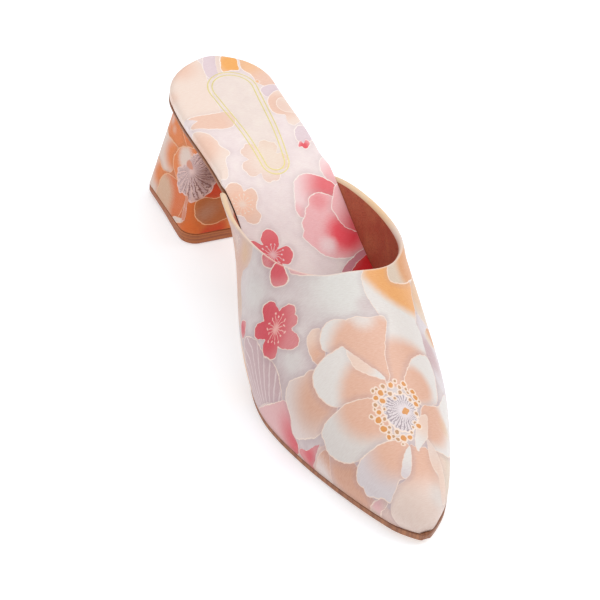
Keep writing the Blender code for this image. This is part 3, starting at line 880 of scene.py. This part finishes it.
insoleLayers = [
    petal([(-27, 22), (-23, 11), (-14, 3), (-5, 1.5), (-4.4, 10), (-6, 20), (-7.6, 30), (-8.6, 40.5),
        (-20, 40.5), (-28, 40), (-29, 30)], "petalWarm", "petalPale", (-17, 4), (3, 15), line=0.3,
        halo=0.08, spots=[((-28, 24), 1, 7, 0.7, "petalWarm")]),
    petal([(-5, 14), (-3.5, 5), (0, -1), (5, -2), (6, 2), (3.6, 9), (1.5, 14), (-2, 17)], "mist",
        line=0.3, halo=0.05),
    petal([(1.4, 13), (2.4, 8), (4.6, 1), (6.2, -1), (6.6, 2), (4.4, 8), (3, 13)], "petalPale", line=0.2,
        halo=0.05),
    petal([(13.6, 12.8), (15, 6), (18.4, 3.4), (24, 8), (27, 15), (28.4, 22), (26, 27.4), (20, 27.6),
        (17, 24), (16.2, 18)], "petalGold", "petalWarm", (17, 8), (3, 14), line=0.5, halo=0.1),
    dots([(17.6, 23.2, 0.8)], "petalGold", rim="petalPale"),
    petal([(3.6, 12.8), (5, 6), (7, 1.6), (11, 0.8), (14.6, 4.6), (13.4, 9), (12.4, 13.4), (8, 12.8)],
        "tangerine", "petalGold", (11, 8), (4, 9), line=0.5, halo=0.1),
    petal([(16.4, 33), (17, 28.4), (21, 26.8), (27, 27), (29, 33), (24, 35.6), (19, 36)], "mist",
        line=0.35, halo=0.06),
    petal([(15.5, 44), (16.5, 38), (20, 33.6), (26, 31), (31, 36), (32, 46), (29, 52.6), (22.4, 57),
        (19.6, 54), (21, 49.8), (17, 47.6)], "petalWarm", "petalPale", (20, 42), (4, 14), line=0.35,
        halo=0.08),
    petal([(19.6, 41), (23, 37), (29, 38.6), (31, 45), (26, 48.4), (21, 46.6)], "bloom", "petalPale",
        (21, 43), (2, 9), line=0.3, halo=0.06),
    petal([(19.6, 64), (22, 58.4), (27, 57.6), (30.4, 62), (26.6, 67.6), (21, 68)], "mist", line=0.4,
        halo=0.08),
    petal([(-26, 41.4), (-21.4, 43.5), (-26, 47), (-20, 50), (-12, 52), (-6, 51), (-3, 46), (-4, 41),
        (-12, 40.4), (-20, 40.4)], "petalWarm", "bloom", (-16, 46), (6, 13), line=0.4, halo=0.1),
    petal([(-28, 50), (-20, 53), (-17.5, 58), (-16.6, 62), (-13.6, 66), (-17, 70), (-18, 75), (-20, 80),
        (-26, 77), (-29, 64)], "petalWarm", "petalPale", (-26, 60), (4, 13), line=0.4, halo=0.12),
    petal(blossomPoints((0.5, 73.6), 12, 14, 0.06, 0.62), "petalPale", "bloom", (2, 74), (4, 13),
        line=0.35, halo=0.08),
    stamens((3, 73.6), 6.0, 13, colour="petalPale"),
    oval(top=(4.0, 25.5), bottom=(5.2, 75.0), radii=(12.3, 7.1), insets=(0.3, 2.4), width=0.5, fill="oat",
        colour="gilt"),
    petal([(19, 69.6), (20, 67), (21.5, 66.4), (22.5, 68.2), (24, 66.4), (25.4, 68), (24.6, 70.6),
        (22, 71.6), (20.4, 70)], "berry", "flush", (22, 70), (1, 4.5), line=0.3, halo=0.1),
    petal([(-22, 84), (-18, 81.6), (-14.5, 84), (-14, 87), (-10, 86), (-8, 90), (-9.5, 94), (-10.5, 96.5),
        (-9, 100), (-12, 103.4), (-16, 102.6), (-18, 99), (-22, 97), (-25, 91)], "nectar", "petalWarm",
        (-17, 93), (3, 9), halo=0.12),
    stamens((-16.5, 93), 5.4, 14, colour="petalPale"),
    petal([(-12.6, 114), (-12.6, 110), (-10, 106.8), (-7, 106.8), (-4.2, 110), (-4.4, 114), (-6, 116.6),
        (-2.5, 115.6), (0.6, 117.4), (0.4, 121.6), (-2.5, 124.6), (-5.5, 123.6), (-5, 127), (-7.5, 131),
        (-11, 131), (-13.4, 128), (-11.5, 124.6), (-13.6, 123), (-15.6, 120), (-14.4, 117.6),
        (-18.6, 114), (-19, 110.4), (-15.4, 110.6)], "berry", "carmine", (-8, 118), (3, 10), halo=0.2),
    stamens((-8.8, 118.6), 5.6, 14, colour="snow"),
    petal([(26, 87), (25.4, 81), (28, 77.5), (31.5, 77), (35, 82), (35, 93), (30, 92)], "flush", "snow",
        (31, 88), (2, 10), halo=0.12),
    petal([(7.6, 102), (9, 93), (11, 86.6), (16, 83.8), (21, 84.8), (26, 87.6), (30, 92), (28, 98),
        (22, 100), (16, 102), (11, 105)], "carmine", "snow", (28, 92), (4, 19), halo=0.16,
        spots=[((8, 103), 2, 8, 0.9, "flush")]),
    petal([(11.4, 103.4), (12.2, 100.4), (14.4, 99), (15.6, 95.6), (20, 94), (24, 95.4), (30, 99),
        (34, 106), (38, 116), (37, 124), (31, 126.4), (26, 127.2), (20, 126.2), (15, 123.8), (11, 119),
        (7.3, 113.4), (8.6, 110.6), (8.4, 107.6), (9.8, 105)], "flush",
        spots=[((28.6, 115.4), 4, 13.5, 1.0, "ruby"), ((18.4, 119.4), 1, 6.5, 0.9, "snow"),
        ((20, 98), 1, 7, 0.5, "carmine")], halo=0.18),
    petal([(26, 106.4), (25, 102), (27.4, 97), (31, 91.6), (37, 96), (38, 108), (36, 116), (30, 113.4),
        (27.4, 110)], "carmine", "flush", (36, 114), (2, 15), halo=0.14),
    petal(blossomPoints((-14, 152), 13, 24), "bloom", "petalWarm", (-14, 152), (4, 13), halo=0.12),
    stamens((-14, 152), 6.5, 14, colour="petalPale"),
    petal(blossomPoints((14, 172), 14, 50), "berry", "flush", (14, 172), (3, 14), halo=0.16),
    stamens((14, 172), 7.0, 15, colour="snow"),
    petal(blossomPoints((-12, 196), 12, 10), "nectar", "petalPale", (-12, 196), (3, 12), halo=0.12),
    petal([(22, 136), (27, 130), (32, 127), (37, 125), (41, 132), (34, 138)], "cherry", line=0.4),
    petal([(20.6, 133.4), (25, 129), (30, 126.2), (35, 124.4), (36.4, 126.6), (30, 130), (25, 134)],
        "heather", halo=0.14),
]


def insoleFinish():
    ground = [(0.3, "e2d4d4"), (0.5, "e7dad9"), (0.7, "eadfdc")]
    f, colour = printedFinish("printedFootbed", insoleLayers, ground, 0.46, edge="chalk")
    # painted shade: the lower part of the footbed's side turns darker brown
    rim = f.span(f.attribute("edge", "Fac"), 0.0, 0.4, 0.3, 0.0)
    return f.wear(Base_Color=f.mix(rim, colour, "b08a74"))


def soleEdgeFinish():
    f = Finish("soleEdge")
    place = f.attribute("flat")
    streak = f.noise(f.stretch(place, (0.2, 0.06, 1.0)), 6.0, 4.0, 0.6)
    colour = f.mix(f.span(streak, 0.3, 0.7), "7d4a2f", "a86f4c")
    line = f.span(f.attribute("edge", "Fac"), 0.8, 0.98, 0.0, 0.35)
    colour = f.mix(line, colour, "5d3520")
    return f.wear(Base_Color=colour, Roughness=f.span(streak, 0.3, 0.7, 0.42, 0.58),
                  Normal=f.bump(streak, 0.3, 0.0003))


def treadFinish():
    f = Finish("ribbedTread")
    place = f.attribute("flat")
    cloud = f.noise(place, 0.08, 4.0)
    speck = f.noise(place, 1.1, 3.0, 0.6)
    colour = f.mix(f.span(cloud, 0.3, 0.7), "c79d7c", "d2b094")
    colour = f.mix(f.span(f.attribute("groove", "Fac"), 0.35, 0.95, 0.0, 0.55), colour, "8a5f43")
    colour = f.mix(f.span(speck, 0.6, 0.75, 0.0, 0.3), colour, "9a7154")
    return f.wear(Base_Color=colour, Roughness=f.span(cloud + speck * 0.4, 0.4, 0.9, 0.5, 0.68),
                  Normal=f.bump(speck, 0.25, 0.0003))


# Heel block and its top lift: rounded-corner loops between two ends.
heelLook = {
    # back, front, half widths at back and front, centre, back corner length and width, front corner
    "upper": (3.3, 52.0, 22.8, 23.8, 0.5, 24.0, 22.4, 4.0),
    "lower": (3.4, 52.8, 28.0, 27.1, -0.4, 5.8, 5.8, 8.0),
    "levels": 60, "lastLevel": 0.985, "corner": 22, "sideSteps": 12, "liftHeight": 5.7,
    # lower end of the cover: share of its height, inset, wear
    "hem": ((0.995, 0.04, 0.6), (1.0, 0.15, 1.0)),
    # lift: height, inset, further inset at the back, wear; the bevel fades out over these stations
    "lift": ((5.7, 0.15, 0.0, 0.6), (5.55, 0.03, 0.0, 0.3), (5.3, 0.0, 0.0, 0.0), (2.9, 0.0, 0.0, 0.0),
             (1.6, 0.0, 0.8, 0.1), (0.7, 0.02, 1.6, 0.2), (0.3, 0.15, 2.0, 0.5), (0.0, 0.6, 2.4, 1.0)),
    "bevel": (4, 50),
}


def blockLoop(share):
    # outline between the upper and the lower end, and the way round it from the middle of the back
    upper, lower = np.array(heelLook["upper"]), np.array(heelLook["lower"])
    row = upper + (lower - upper) * share
    back, front, backHalf, frontHalf, centre, backLong, backWide, frontRound = row
    corners = ((front - frontRound, frontHalf - frontRound, frontRound, frontRound),
               (back + backLong, backHalf - backWide, backLong, backWide),
               (back + backLong, backWide - backHalf, backLong, backWide),
               (front - frontRound, frontRound - frontHalf, frontRound, frontRound))
    arcs = []
    for k, (s, x, long, wide) in enumerate(corners):
        angle = np.pi / 2 * (k + np.linspace(0, 1, heelLook["corner"]))
        arcs.append(np.stack([s + long * np.cos(angle), centre + x + wide * np.sin(angle)], -1))
    points = []
    for arc, after in zip(arcs, arcs[1:] + arcs[:1]):
        points += [arc, np.linspace(arc[-1], after[0], heelLook["sideSteps"] + 2)[1:-1]]
    loop = np.concatenate(points)
    run = pathLength(loop)
    return loop, run - run[np.argmin(loop[:, 0] + 1e-3 * np.abs(loop[:, 1] - centre))]


def buildBlock(name, levels, material, node):
    # levels: share from upper to lower outline, height and inset by station, wear
    verts, flats, edges = [], [], []
    for share, height, inset, edge in levels:
        loop, run = blockLoop(share)
        centre = loop.mean(0)
        spoke = (loop - centre) / np.linalg.norm(loop - centre, axis=-1, keepdims=True)
        loop = loop - spoke * (inset(loop[:, 0]) * np.ones(len(loop)))[:, None]
        z = height(loop[:, 0]) * np.ones(len(loop))
        verts.append(np.column_stack([loop, z]))
        flats.append(np.column_stack([run, z, np.zeros(len(loop))]))
        edges.append(np.full(len(loop), edge))
    columns = len(verts[0])
    faces = gridFaces(len(verts), columns, closed=True)
    faces.append(tuple(range(columns))[::-1])
    faces.append(tuple(range((len(verts) - 1) * columns, len(verts) * columns)))
    return buildPiece(name, toRow(np.concatenate(verts)), faces, [material], node, None,
                      np.concatenate(flats), {"edge": np.concatenate(edges)})


heelFlower = [
    # petals around the disc; the two small ash spots on the first one are painted highlights (glints)
    petal([(22, 60), (40, 64), (56, 62), (57, 51.7), (52, 48.5), (47.9, 45.3), (45, 41.9), (38, 41.3),
        (33.6, 41.1), (28, 42), (23, 46), (20, 53)], "ember", spots=[((27, 45), 1, 6, 0.4, "sand"),
        ((31, 50), 0.5, 4, 0.55, "ash"), ((36, 47.4), 0.5, 3.4, 0.4, "ash")]),
    petal([(42, 62), (42.2, 53), (45.1, 50.6), (49.6, 48.6), (52, 48.5), (57, 51.7), (56, 62)], "ember",
        spots=[((51, 53), 0.5, 6, 0.7, "copper")]),
    petal([(33.6, 41.1), (40, 41.3), (45, 41.7), (44.3, 38.1), (43.6, 36), (44.6, 32.4), (46.8, 29.9),
        (46, 26), (40.7, 22.8), (37, 22.4), (33.6, 23.9), (28, 24), (22, 28), (19, 34), (23, 40),
        (29, 41.4)], "ember", "ash", (44, 36), (4, 13)),
    petal([(46, 26), (40.7, 22.8), (37, 22.4), (33.6, 23.9), (27, 22), (22, 14), (24, 4), (34, 0),
        (41, 4), (39.8, 12), (40, 18.9), (43.6, 23.5)], "ember", "ash", (39, 19), (3, 12)),
    petal([(53.6, 27), (48.6, 25.6), (43.6, 23.5), (40, 18.9), (39.6, 13.1), (41, 4), (52, 0), (62, 2),
        (65, 10), (66, 18), (65, 25), (58, 28)], "sand", "copper", (44, 11), (7, 16),
        spots=[((52, 4), 3, 9, 0.7, "sand")]),
    petal([(57, 51.7), (52, 48.5), (47.9, 45.3), (45.4, 42.4), (44.3, 38.1), (43.6, 36), (44.6, 32.4),
        (46.8, 29.9), (54, 27), (64, 34), (70, 44), (66, 52), (61, 54)], "ash", "ember", (54, 42),
        (4, 10)),
    # rayed disc with a warm eye; its threads are print, while their darkening towards the breast and the
    # dusk patch beside the disc are painted shade
    rays([(50.4, 32.5), (52.6, 28), (55, 25), (57.9, 22.6), (61, 24), (64.3, 25.3), (68, 24), (72, 25),
        (76, 30), (77, 38), (76, 46), (71, 52), (64, 53), (59, 49), (56, 41), (53.4, 37)], (61.4, 40.6),
        14.0, 43, "mallow", "dusk", (0.06, 0.35), 0.85, rim="wisp", fade=(54, 68), pale=26),
    glow((62, 40), 0.5, 4, 0.7, "wisp"),
    glow((73, 40), 3, 11, 0.5, "dusk"),
    petal([(55.6, 41), (57, 43.6), (60, 44), (62, 42), (60, 40), (57, 39.4)], "clove", line=0, halo=0,
        soft=0.6),
    # curled petal and the petal of the breast side
    petal([(69.6, 13), (69, 9.6), (65, 6.4), (60.6, 5.8), (62, 8.4), (66, 10.6)], "ash", line=0.3),
    petal([(65, 27), (67, 25), (68, 21), (69.6, 15.4), (70.2, 12), (68.6, 11), (67.4, 14), (66.4, 18.6),
        (65.4, 23)], "clove", line=0.55, edge="wisp"),
    petal([(71, 25), (72.5, 19.6), (74.6, 15.6), (79.3, 12), (83.6, 10.4), (89.3, 11.4), (96, 16),
        (96, 26), (88, 27), (80, 25.6), (75, 27)], "cocoa", "bark", (79, 18), (0, 9)),
]


def turnedOver(layers, shift):
    # the same drawing turned over across the piece
    def flip(point):
        return (shift - point[0], point[1])

    turned = []
    for kind, settings in layers:
        settings = dict(settings)
        for key in ("centre", "focus", "eye"):
            if key in settings:
                settings[key] = flip(settings[key])
        if "points" in settings:
            settings["points"] = [flip(point) for point in settings["points"]]
        if "spots" in settings:
            settings["spots"] = [(flip(spot[0]),) + spot[1:] for spot in settings["spots"]]
        if "fade" in settings:
            settings["fade"] = tuple(shift - edge for edge in settings["fade"])
        turned.append((kind, settings))
    return turned


heelLayers = [
    # painted shade: the breast side, which lies in shadow, gets darker copper and deep red-brown grounds
    glow((73, 15), 7, 13, 1.0, "copper"),
    glow((85, 32), 9, 17, 1.0, "rust"),
    glow((87, 6), 4, 9, 0.9, "rust"),
    petal([(86, 58), (98, 56), (112, 54), (112, 38), (100, 34), (88, 40), (82, 50)], "ember", "ash",
        (90, 48), (4, 16)),
] + turnedOver(heelFlower, 8) + heelFlower + [
    # back of the heel
    petal(blossomPoints((-4, 37), 12, 30), "ember", "ash", (-4, 37), (4, 12)),
    stamens((-4, 37), 6.6, 15, colour="glow"),
    veins([(-2, 20), (8, 14), (14, 4), (2, -2), (-12, 2), (-16, 12), (-10, 20)], (6, 24), 30, "mallow",
        "wisp", bow=1.5),
]


def heelFinish():
    ground = [(0.3, "c8662c"), (0.5, "d27432"), (0.7, "d88c50")]
    f, colour = printedFinish("printedHeelCover", heelLayers, ground, 0.45, "bark", "glow", 0.04)
    worn = f.span(f.attribute("edge", "Fac"), 0.0, 1.0, 0.0, 0.5)
    return f.wear(Base_Color=f.mix(worn, colour, "7a4426"))


def liftFinish():
    f = Finish("stackedLift")
    place = f.node("ShaderNodeTexCoord", {}, {}, "Object")
    streak = f.noise(f.stretch(place, (40.0, 40.0, 1600.0)), 1.0, 4.0, 0.6)
    speck = f.noise(place, 900.0, 3.0, 0.6)
    colour = f.mix(f.span(streak, 0.3, 0.7), "8a4420", "b36a38")
    colour = f.mix(f.span(speck, 0.58, 0.72, 0.0, 0.5), colour, "6b3216")
    return f.wear(Base_Color=colour, Roughness=f.span(streak, 0.3, 0.7, 0.45, 0.6),
                  Normal=f.bump(streak + speck * 0.4, 0.4, 0.0003))


def coverLevel(share, inset=0.0, wear=0.0):
    # the hem stands straight on the lower outline
    low = heelLook["liftHeight"] + last["gap"]
    return (1.0 if wear else share, lambda s: (tread(s) - last["gap"]) * (1 - share) + low * share,
            lambda s: inset, wear)


def liftLevel(height, inset, back, wear):
    return 1.0, lambda s: height, lambda s: inset + back * (1 - ease(*heelLook["bevel"], s)), wear


buildUpper([vampFinish(), liningFinish()])
buildPlate("sole", soleLook, [soleEdgeFinish(), treadFinish()], "outsole", tread, soleThickness)
footbed = buildPlate("footbed", insoleLook, [insoleFinish()], "insole", feather, insoleThickness,
                     insoleSpread)
coverLevels = [coverLevel(share) for share in np.linspace(0, heelLook["lastLevel"], heelLook["levels"])]
coverLevels += [coverLevel(*row) for row in heelLook["hem"]]
buildBlock("heelCover", coverLevels, heelFinish(), "heel")
buildBlock("heelLift", [liftLevel(*row) for row in heelLook["lift"]], liftFinish(), "top_lift")

# Studio: pale floor, soft lights, camera at the photograph's angle. The axes are those of the photograph;
# focal, aim and middle are in its pixels.
studio = {"floor": 3.0, "floorLevel": -0.0002, "lens": 96.5, "position": (-0.27914, -0.47856, 0.46860),
          "right": (0.93721, -0.34683, 0.03673), "down": (-0.19668, -0.61255, -0.76557),
          "forward": (0.28802, 0.71028, -0.64230), "focal": 1218.24, "aim": (430.0, 291.0), "middle": 300,
          "world": (1.0, 0.99, 0.98, 1.0), "worldStrength": 0.62, "lightAim": (0, 0, 0.03), "sensor": 36.0,
          # soft lights: name, place, size, power
          "lights": (("keyRight", (0.9, -0.25, 1.0), 0.9, 7.6), ("topSoft", (0.05, 0.25, 1.5), 1.4, 5.0),
                     ("leftFill", (-1.0, -0.35, 0.8), 1.2, 3.6))}

floorFinish = Finish("paleFloor")
floorPlace = floorFinish.node("ShaderNodeTexCoord", {}, {}, "Object")
mottle = floorFinish.noise(floorPlace, 9.0, 4.0)
floorFinish.wear(Base_Color=floorFinish.mix(mottle, "dde2e8", "e4e8ec"), Roughness=0.75,
                 Emission_Color=(1.0, 1.0, 1.0, 1.0), Emission_Strength=0.4)
half, low = studio["floor"], studio["floorLevel"]
floorMesh = bpy.data.meshes.new("floor")
floorMesh.from_pydata([(-half, -half, low), (half, -half, low), (half, half, low), (-half, half, low)], [],
                      [(0, 1, 2, 3)])
floorMesh.materials.append(floorFinish.material)
floor = bpy.data.objects.new("floor", floorMesh)
bpy.context.scene.collection.objects.link(floor)

world = bpy.data.worlds.new("studio")
world.use_nodes = True
backdrop = world.node_tree.nodes["Background"].inputs
backdrop[0].default_value, backdrop[1].default_value = studio["world"], studio["worldStrength"]
bpy.context.scene.world = world


def stand(thing, name, columns, place):
    # object in the scene with its axes and place
    holder = bpy.data.objects.new(name, thing)
    bpy.context.scene.collection.objects.link(holder)
    rows = [list(row) + [p] for row, p in zip(np.column_stack(columns), place)]
    holder.matrix_world = Matrix(rows + [[0, 0, 0, 1]])
    return holder


def softLight(name, place, size, power):
    lamp = bpy.data.lights.new(name, "AREA")
    lamp.shape, lamp.size, lamp.energy = "DISK", size, power
    away = np.array(place) - np.array(studio["lightAim"])
    away /= np.linalg.norm(away)
    side = np.cross((0.0, 0.01, 1.0), away)
    side /= np.linalg.norm(side)
    stand(lamp, name, [side, np.cross(away, side), away], place)


for light in studio["lights"]:
    softLight(*light)

right, down, forward = (np.array(studio[key]) for key in ("right", "down", "forward"))
aimAcross, aimDown = (pixel - studio["middle"] for pixel in studio["aim"])
aim = forward * studio["focal"] + right * aimAcross + down * aimDown
aim /= np.linalg.norm(aim)
right -= aim * right.dot(aim)
right /= np.linalg.norm(right)
lens = bpy.data.cameras.new("camera")
lens.lens, lens.sensor_width, lens.sensor_fit = studio["lens"], studio["sensor"], "HORIZONTAL"
lens.clip_start, lens.clip_end = 0.01, 50.0
camera = stand(lens, "camera", [right, np.cross(right, aim), -aim], studio["position"])
bpy.context.scene.camera = camera
bpy.context.scene.view_settings.view_transform = "Standard"
print("camera and lights set")
